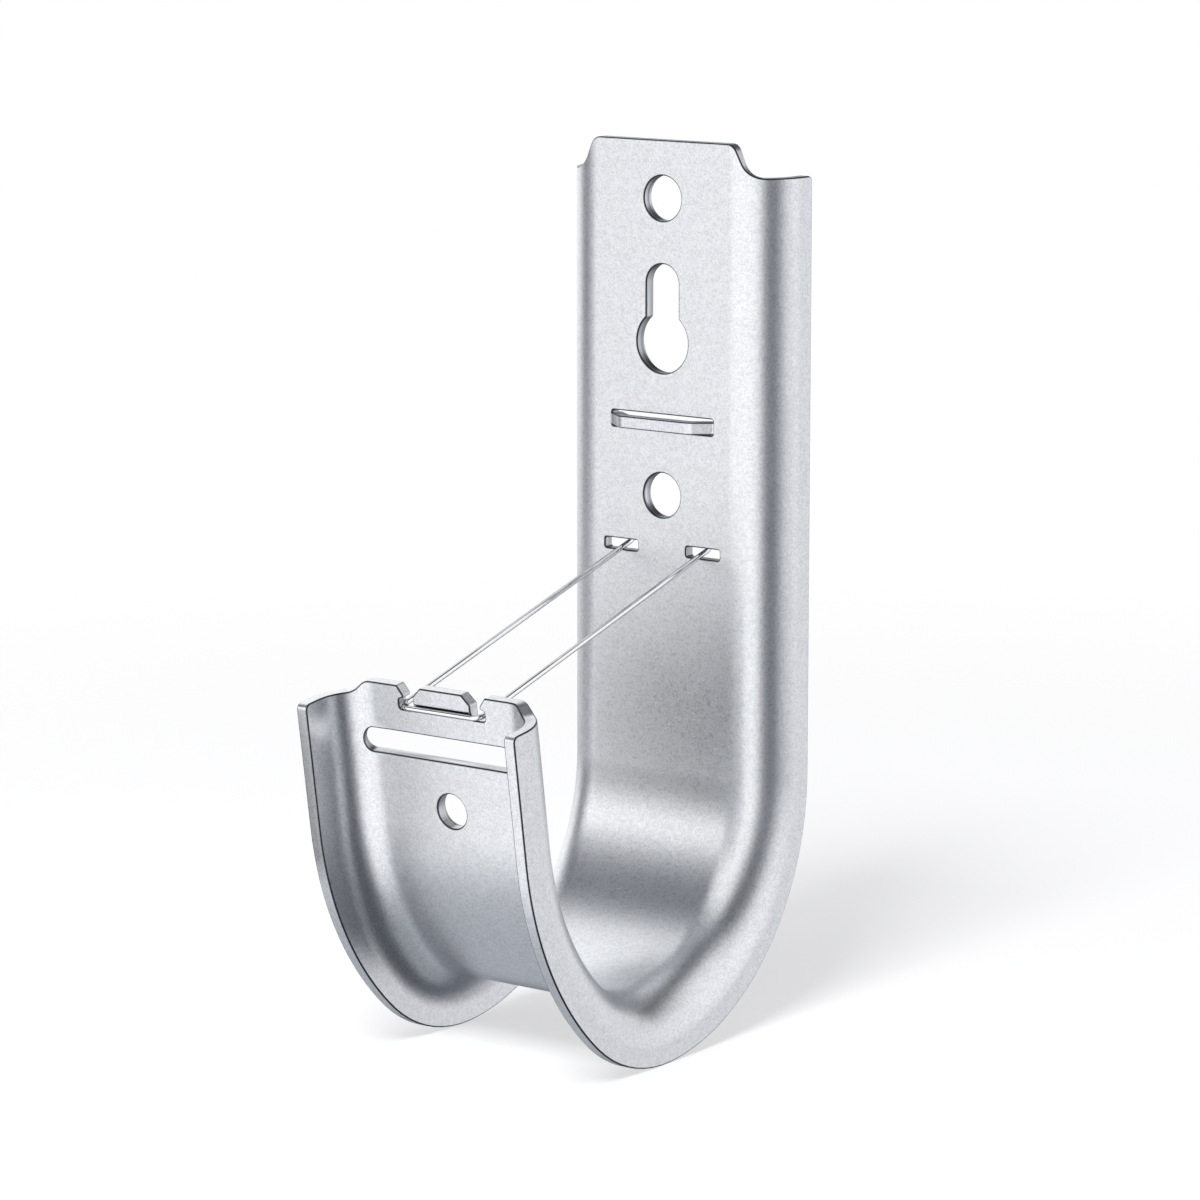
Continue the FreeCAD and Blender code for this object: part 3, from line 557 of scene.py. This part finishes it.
def wireMesh():
    # ring point = centre + radius * (cos a * up + sin a * across). the ends close with a round and a flat
    line, up = wireLine()
    way = np.gradient(line, axis=0)
    way /= np.linalg.norm(way, axis=1, keepdims=True)
    up = up - way * (up * way).sum(1, keepdims=True)
    up /= np.linalg.norm(up, axis=1, keepdims=True)
    r, e, steps = wire["radius"], wire["endRadius"], wire["endSteps"]
    bend = np.linspace(0, math.pi / 2, steps + 1)[1:]
    tipRadius, tipShift, tipLean = r - e * (1 - np.cos(bend)), e * np.sin(bend) - e, np.sin(bend)
    line = np.concatenate([line[0] - way[0] * tipShift[::-1, None], line[:1] + way[0] * e, line[1:-1],
                           line[-1:] - way[-1] * e, line[-1] + way[-1] * tipShift[:, None]])
    radius = np.concatenate([tipRadius[::-1], np.full(len(way), r), tipRadius])
    lean = np.concatenate([-tipLean[::-1], np.zeros(len(way)), tipLean])
    up, way = (np.concatenate([np.tile(axis[0], (steps, 1)), axis, np.tile(axis[-1], (steps, 1))])
               for axis in (up, way))
    across = np.cross(way, up)
    a = np.linspace(0, 2 * math.pi, wire["around"], endpoint=False)
    ring = up[:, None] * np.cos(a)[:, None] + across[:, None] * np.sin(a)[:, None]
    places = (line[:, None] + ring * radius[:, None, None]).reshape(-1, 3)
    normals = (ring * np.sqrt(1 - lean ** 2)[:, None, None] + (way * lean[:, None])[:, None]).reshape(-1, 3)
    index = np.arange(len(places)).reshape(len(line), -1)
    beside = np.roll(index, -1, axis=1)
    quads = np.stack([index[:-1], beside[:-1], beside[1:], index[1:]], axis=-1).reshape(-1, 4)
    wireMap = np.stack([np.tile(a, len(line)), np.repeat(np.arange(len(line)), len(a))], axis=1)
    return places, normals, wireMap, [quads, index[:1, ::-1], index[-1:]]


# Shader helpers

def newMaterial(name):
    material = bpy.data.materials.new(name)
    material.use_nodes = True
    tree = material.node_tree
    tree.nodes.clear()
    return material, tree, tree.nodes.new("ShaderNodeOutputMaterial").inputs["Surface"]


def addNode(tree, kind, inputs=None, **settings):
    # one node with its settings and its input values or links
    node = tree.nodes.new(kind)
    for key, setting in settings.items():
        setattr(node, key, setting)
    for key, source in (inputs or {}).items():
        if isinstance(source, bpy.types.NodeSocket):
            tree.links.new(source, node.inputs[key])
        else:
            node.inputs[key].default_value = source
    return node


def addMath(tree, operation, *values, **settings):
    inputs = dict(enumerate(values))
    return addNode(tree, "ShaderNodeMath", inputs, operation=operation, **settings).outputs[0]


def addRange(tree, value, span, ends=(0.0, 1.0), **settings):
    # the span of the value becomes the two ends, and is held beyond them
    inputs = {"Value": value, "From Min": span[0], "From Max": span[1], "To Min": ends[0], "To Max": ends[1]}
    return addNode(tree, "ShaderNodeMapRange", inputs, **settings).outputs[0]


def addNoise(tree, place, size, detail, **shape):
    inputs = {"Vector": place, "Scale": size, "Detail": detail}
    inputs.update({key.capitalize(): value for key, value in shape.items()})
    return addNode(tree, "ShaderNodeTexNoise", inputs)


def addMix(tree, share, low, high):
    # colour between two, each of them a socket or (r, g, b)
    low, high = (side if isinstance(side, bpy.types.NodeSocket) else (*side, 1) for side in (low, high))
    inputs = {"Factor": share, "A": low, "B": high}
    return addNode(tree, "ShaderNodeMix", inputs, data_type="RGBA").outputs["Result"]


def addVector(tree, operation, inputs, output="Vector"):
    return addNode(tree, "ShaderNodeVectorMath", inputs, operation=operation).outputs[output]


def addBlend(tree, share, first, second):
    inputs = {"Fac": share, 1: first.outputs[0], 2: second.outputs[0]}
    return addNode(tree, "ShaderNodeMixShader", inputs)


# Zinc spangle: fine worm-like grains, shared by the sheet and the wire

grainShape = {
    "warpDetail": 2.0,
    "warp": 0.0006,             # metres
    "wormDetail": 1.5,
    "wormRoughness": 0.55,
    "wormDistortion": 1.2,
    "ridgeHalfWidth": 0.12,
    "cloudSize": 45.0,
    "cloudDetail": 3.0,
    "fineSize": 3200.0,
    "fineDetail": 2.0,
}


def buildSpangleGroup():
    k = grainShape
    group = bpy.data.node_groups.new("zincSpangle", "ShaderNodeTree")
    group.interface.new_socket(name="Grain Size", in_out="INPUT", socket_type="NodeSocketFloat")
    for name in ("Grain", "Cloud", "Fine"):
        group.interface.new_socket(name=name, in_out="OUTPUT", socket_type="NodeSocketFloat")
    size = group.nodes.new("NodeGroupInput").outputs["Grain Size"]
    result = group.nodes.new("NodeGroupOutput")
    place = addNode(group, "ShaderNodeTexCoord").outputs["Object"]
    warp = addNoise(group, place, size, k["warpDetail"]).outputs["Color"]
    shift = addVector(group, "SUBTRACT", {0: warp, 1: (0.5, 0.5, 0.5)})
    shift = addVector(group, "SCALE", {0: shift, "Scale": k["warp"]})
    moved = addVector(group, "ADD", {0: place, 1: shift})
    worms = addNoise(group, moved, size, k["wormDetail"], roughness=k["wormRoughness"],
                     distortion=k["wormDistortion"])
    # ridges of the noise: bright where it crosses its middle value
    away = addMath(group, "ABSOLUTE", addMath(group, "SUBTRACT", worms.outputs["Fac"], 0.5))
    ridge = addRange(group, away, (0.0, k["ridgeHalfWidth"]), (1.0, 0.0))
    cloud = addNoise(group, place, k["cloudSize"], k["cloudDetail"]).outputs["Fac"]
    fine = addNoise(group, place, k["fineSize"], k["fineDetail"]).outputs["Fac"]
    for name, source in (("Grain", ridge), ("Cloud", cloud), ("Fine", fine)):
        group.links.new(source, result.inputs[name])
    return group


sheetFinish = {
    "baseLow": (0.73, 0.74, 0.76),
    "baseHigh": (0.92, 0.93, 0.95),
    "grainSize": 1650.0,
    "cloudSpan": (0.3, 0.7),
    "roughness": (0.285, 0.325),
    "bumpDistance": 0.000006,
    # painted shade: colour and strength of the dark line along every rim and in the wire seat
    "paintedShadeColour": (0.06, 0.065, 0.075),
    "paintedShadeStrength": 1.4,
    "wallLow": (0.34, 0.35, 0.37),
    "wallHigh": (0.86, 0.87, 0.89),
    "wallSpan": (0.6, 1.0),     # how far round the rim the hole wall's colour starts and is full
    "burnishSize": (90.0, 2600.0, 90.0),
    "burnishDetail": 2.0,
    "burnishSpan": (0.35, 0.65),
}

wireFinish = {
    "baseLow": (0.88, 0.89, 0.90),
    "baseHigh": (0.97, 0.975, 0.98),
    "grainSize": 2400.0,
    "roughness": 0.06,
    "edgeTint": (0.0, 0.0, 0.0),
}


def sheetMaterial(spangle):
    k = sheetFinish
    material, tree, surface = newMaterial("zincSheet")
    group = addNode(tree, "ShaderNodeGroup", node_tree=spangle)
    group.inputs["Grain Size"].default_value = k["grainSize"]
    grain = group.outputs["Grain"]
    colour = addMix(tree, grain, k["baseLow"], k["baseHigh"])
    # punched hole walls are darker, with burnish lines that run round the hole
    rimMap = addNode(tree, "ShaderNodeUVMap", uv_map="rimMap").outputs[0]
    mapAxis = addNode(tree, "ShaderNodeSeparateXYZ", {0: rimMap})
    around = mapAxis.outputs["X"]
    inHole = addMath(tree, "GREATER_THAN", mapAxis.outputs["Y"], (holeMark + 1.0) / 2)
    holeWall = addMath(tree, "MULTIPLY", inHole, addRange(tree, around, k["wallSpan"]))
    place = addNode(tree, "ShaderNodeTexCoord").outputs["Object"]
    stretched = addNode(tree, "ShaderNodeMapping", {"Vector": place, "Scale": k["burnishSize"]}).outputs[0]
    burnish = addNoise(tree, stretched, 1.0, k["burnishDetail"]).outputs["Fac"]
    wallColour = addMix(tree, addRange(tree, burnish, k["burnishSpan"]), k["wallLow"], k["wallHigh"])
    colour = addMix(tree, holeWall, colour, wallColour)
    # painted shade: thin dark line where a face turns into its cut wall: 4 u (1 - u) of the rim map's first
    # value. the same dark colour paints shade into the wire seat
    product = addMath(tree, "MULTIPLY", around, addMath(tree, "SUBTRACT", 1.0, around))
    line = addMath(tree, "MULTIPLY", product, 4 * k["paintedShadeStrength"], use_clamp=True)
    colour = addMix(tree, line, colour, k["paintedShadeColour"])
    roughness = addRange(tree, group.outputs["Cloud"], k["cloudSpan"], k["roughness"])
    height = addMath(tree, "ADD", grain, group.outputs["Fine"])
    bump = addNode(tree, "ShaderNodeBump", {"Height": height, "Distance": k["bumpDistance"], "Strength": 1.0})
    shader = addNode(tree, "ShaderNodeBsdfPrincipled",
                     {"Base Color": colour, "Roughness": roughness, "Metallic": 1.0,
                      "Normal": bump.outputs[0]})
    tree.links.new(shader.outputs[0], surface)
    return material


def wireMaterial(spangle):
    k = wireFinish
    material, tree, surface = newMaterial("springWire")
    group = addNode(tree, "ShaderNodeGroup", node_tree=spangle)
    group.inputs["Grain Size"].default_value = k["grainSize"]
    colour = addMix(tree, group.outputs["Grain"], k["baseLow"], k["baseHigh"])
    shader = addNode(tree, "ShaderNodeBsdfPrincipled",
                     {"Base Color": colour, "Roughness": k["roughness"], "Metallic": 1.0,
                      "Specular Tint": (*k["edgeTint"], 1)})
    tree.links.new(shader.outputs[0], surface)
    return material


def dress(nodeName, material):
    # the node keeps its mesh; only its material slots are filled
    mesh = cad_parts[nodeName].data
    mesh.materials.clear()
    mesh.materials.append(material)


# Stage: pale floor and soft boxes

stage = {
    "floorSize": 4.0,
    "floorColour": (0.86, 0.86, 0.87),
    "whiteNear": 0.56,          # share of plain white in the floor beside the object
    "seenRadii": (0.16, 0.42),  # the floor fades into the room between these distances
    "shinyRadii": (0.01, 0.05), # and between these for shiny surfaces
    "roomColour": (0.085, 0.095, 0.12),
    "shinyWhite": 0.03,
}

# middle, half width and soft width, in degrees
softBoxes = {
    "frontLow": {"azimuth": (-3, 43, 38), "elevation": (-10, 38, 22), "colour": (1.04, 1.05, 1.07)},
    "frontHigh": {"azimuth": (3, 37, 22), "elevation": (5, 62, 24), "colour": (1.16, 1.17, 1.18)},
    "frontFloor": {"azimuth": (-34, 58, 30), "elevation": (-28, 13, 14), "colour": (1.16, 1.17, 1.19)},
    "right": {"azimuth": (119, 32, 40), "elevation": (16, 42, 24), "colour": (1.03, 1.04, 1.06)},
    "back": {"azimuth": (170, 18, 18), "elevation": (-2, 32, 24), "colour": (0.86, 0.87, 0.89)},
    "left": {"azimuth": (-120, 32, 30), "elevation": (26, 38, 18), "colour": (1.16, 1.17, 1.19)},
    "below": {"azimuth": (0, 190, 10), "elevation": (-78, 20, 12), "colour": (0.30, 0.32, 0.35)},
    "lowLeft": {"azimuth": (-90, 62, 30), "elevation": (-60, 24, 22), "colour": (0.44, 0.46, 0.50)},
    "top": {"azimuth": (-60, 100, 50), "elevation": (84, 18, 20), "colour": (0.34, 0.36, 0.39)},
    "frontLeft": {"azimuth": (-44, 16, 16), "elevation": (14, 9, 10), "colour": (1.55, 1.56, 1.57)},
    "darkFrontRight": {"azimuth": (94, 36, 20), "elevation": (-36.5, 22, 6), "colour": (0.05, 0.055, 0.07)},
    "darkTopBack": {"azimuth": (178, 34, 16), "elevation": (46, 26, 12), "colour": (0.03, 0.03, 0.035)},
    "sideGap": {"azimuth": (60, 14, 12), "elevation": (-1, 13, 8), "colour": (0.17, 0.18, 0.21)},
    "darkHighRight": {"azimuth": (66, 22, 14), "elevation": (38, 18, 12), "colour": (0.05, 0.055, 0.07)},
    "darkBackLeft": {"azimuth": (-156, 14, 12), "elevation": (2, 22, 16), "colour": (0.07, 0.075, 0.09)},
}

# small dark card that hovers in front of the lip's left side. only shiny surfaces see it: it stands for the
# dark part of the studio that the plate's lower right reflects in the photograph
flag = {
    "foot": (-0.052, -0.080),
    "halfWidth": 0.021,
    "depth": 0.006,             # how far its top leans away
    "lift": 0.010,
    "height": 0.046,
    "solid": 0.6,               # share of the card that is fully dark
    "colour": (0.02, 0.023, 0.03),
}

keyLamp = {"position": (0.20, -0.80, 0.90), "target": (0.0, -0.03, -0.08), "size": 0.42, "power": 16.0}


def addCard(name, points):
    # nine points, three by three, joined by four quads
    index = np.arange(9).reshape(3, 3)
    quads = np.stack([index[:-1, :-1], index[1:, :-1], index[1:, 1:], index[:-1, 1:]], axis=-1).reshape(-1, 4)
    mesh = bpy.data.meshes.new(name)
    mesh.from_pydata(points.tolist(), [], quads.tolist())
    card = bpy.data.objects.new(name, mesh)
    bpy.context.scene.collection.objects.link(card)
    return card


def threeByThree(low):
    # pairs with the first value from low to 1 and the second from -1 to 1
    return np.array([[a, b] for a in np.linspace(low, 1, 3) for b in np.linspace(-1, 1, 3)])


def addFloor(lowest):
    # one square as a two-parameter grid, just under the hook's lowest point. it fades into the room far out
    spread = threeByThree(-1) * stage["floorSize"] / 2
    floor = addCard("studioFloor", np.column_stack([spread, np.full(len(spread), lowest)]))
    material, tree, surface = newMaterial("paleFloor")
    place = addNode(tree, "ShaderNodeTexCoord").outputs["Object"]
    radius = addVector(tree, "LENGTH", {0: place}, "Value")
    seenFade, shinyFade = (addRange(tree, radius, stage[key], interpolation_type="SMOOTHSTEP")
                           for key in ("seenRadii", "shinyRadii"))
    path = addNode(tree, "ShaderNodeLightPath")
    shiny = addMath(tree, "MULTIPLY", path.outputs["Is Glossy Ray"], shinyFade)
    diffuse = addNode(tree, "ShaderNodeBsdfDiffuse", {"Color": (*stage["floorColour"], 1)})
    white = addNode(tree, "ShaderNodeEmission", {"Color": (1, 1, 1, 1), "Strength": 1.0})
    clear = addNode(tree, "ShaderNodeBsdfTransparent")
    whiteShare = addMath(tree, "MULTIPLY", path.outputs["Is Camera Ray"], stage["whiteNear"])
    near = addBlend(tree, whiteShare, diffuse, white)
    mix = addBlend(tree, addMath(tree, "MAXIMUM", seenFade, shiny), near, clear)
    tree.links.new(mix.outputs[0], surface)
    floor.data.materials.append(material)


def addFlag(lowest):
    # point = foot + a share a of the depth and height + b half widths across. a from 0 to 1, b from -1 to 1
    k = flag
    shape = threeByThree(0)
    a, b = shape.T
    points = np.column_stack([k["foot"][0] + b * k["halfWidth"], k["foot"][1] - a * k["depth"],
                              lowest + k["lift"] + a * k["height"]])
    card = addCard("darkFlag", points)
    addMap(card.data, "flagMap", shape)
    material, tree, surface = newMaterial("darkCard")
    place = addNode(tree, "ShaderNodeUVMap", uv_map="flagMap").outputs[0]
    axis = addNode(tree, "ShaderNodeSeparateXYZ", {0: place})
    up, side = (addRange(tree, source, (k["solid"], 1.0), (1.0, 0.0), interpolation_type="SMOOTHSTEP")
                for source in (axis.outputs["X"], addMath(tree, "ABSOLUTE", axis.outputs["Y"])))
    path = addNode(tree, "ShaderNodeLightPath")
    seen = addMath(tree, "MULTIPLY", addMath(tree, "MULTIPLY", up, side), path.outputs["Is Glossy Ray"])
    clear = addNode(tree, "ShaderNodeBsdfTransparent")
    dark = addNode(tree, "ShaderNodeBsdfDiffuse", {"Color": (*k["colour"], 1)})
    tree.links.new(addBlend(tree, seen, clear, dark).outputs[0], surface)
    card.data.materials.append(material)


def softBand(tree, angle, middle, half, soft):
    # 1 within half of the middle angle, falling smoothly to 0 over the soft width
    offset = addMath(tree, "SUBTRACT", angle, math.radians(middle))
    away = addMath(tree, "ABSOLUTE", addMath(tree, "WRAP", offset, math.pi, -math.pi))
    span = (math.radians(half - soft / 2), math.radians(half + soft / 2))
    return addRange(tree, away, span, (1.0, 0.0), interpolation_type="SMOOTHSTEP")


def setWorld():
    # a dim room with soft boxes, each given by its middle and half widths in azimuth and elevation
    world = bpy.data.worlds.new("studioWorld")
    bpy.context.scene.world = world
    world.use_nodes = True
    tree = world.node_tree
    tree.nodes.clear()
    output = tree.nodes.new("ShaderNodeOutputWorld")
    way = addNode(tree, "ShaderNodeTexCoord").outputs["Generated"]
    axis = addNode(tree, "ShaderNodeSeparateXYZ", {0: way})
    azimuth = addMath(tree, "ARCTAN2", axis.outputs["X"], addMath(tree, "MULTIPLY", axis.outputs["Y"], -1.0))
    elevation = addMath(tree, "ARCSINE", axis.outputs["Z"])
    colour = addNode(tree, "ShaderNodeRGB").outputs[0]
    colour.default_value = (*stage["roomColour"], 1)
    for box in softBoxes.values():
        share = addMath(tree, "MULTIPLY", softBand(tree, azimuth, *box["azimuth"]),
                        softBand(tree, elevation, *box["elevation"]))
        colour = addMix(tree, share, colour, box["colour"])
    room = addNode(tree, "ShaderNodeBackground", {"Color": colour, "Strength": 1.0})
    white = addNode(tree, "ShaderNodeBackground", {"Color": (1, 1, 1, 1), "Strength": 1.0})
    path = addNode(tree, "ShaderNodeLightPath")
    shiny = addMath(tree, "MULTIPLY", path.outputs["Is Glossy Ray"], stage["shinyWhite"])
    seen = addMath(tree, "MAXIMUM", path.outputs["Is Camera Ray"], shiny)
    seenAll = addMath(tree, "MAXIMUM", seen, path.outputs["Is Transmission Ray"])
    tree.links.new(addBlend(tree, seenAll, room, white).outputs[0], output.inputs["Surface"])


def addKeyLamp():
    data = bpy.data.lights.new("key", "AREA")
    data.shape = "SQUARE"
    data.size = keyLamp["size"]
    data.energy = keyLamp["power"]
    light = bpy.data.objects.new("key", data)
    light.location = keyLamp["position"]
    aim = Vector(keyLamp["target"]) - Vector(keyLamp["position"])
    light.rotation_euler = aim.to_track_quat("-Z", "Y").to_euler()
    light.visible_glossy = False    # it draws the floor's shadow; the metal shows the soft boxes
    bpy.context.scene.collection.objects.link(light)


addCamera()
spangle = buildSpangleGroup()
zinc = sheetMaterial(spangle)
hookSheet = addHookSheet()
hookSheet.data.materials.append(zinc)
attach(hookSheet, "hook")
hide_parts("j_hook")
dress("j_hook", zinc)
steel = wireMaterial(spangle)
retainerWire = addMesh("retainerWire", [wireMesh()])
retainerWire.data.materials.append(steel)
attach(retainerWire, "retainer")
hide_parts("cable_retainer")
dress("cable_retainer", steel)
print("materials assigned")

addFloor(cadBox[0][2])
addFlag(cadBox[0][2])
setWorld()
addKeyLamp()
bpy.context.scene.view_settings.view_transform = "Standard"
print("stage and lamps set")
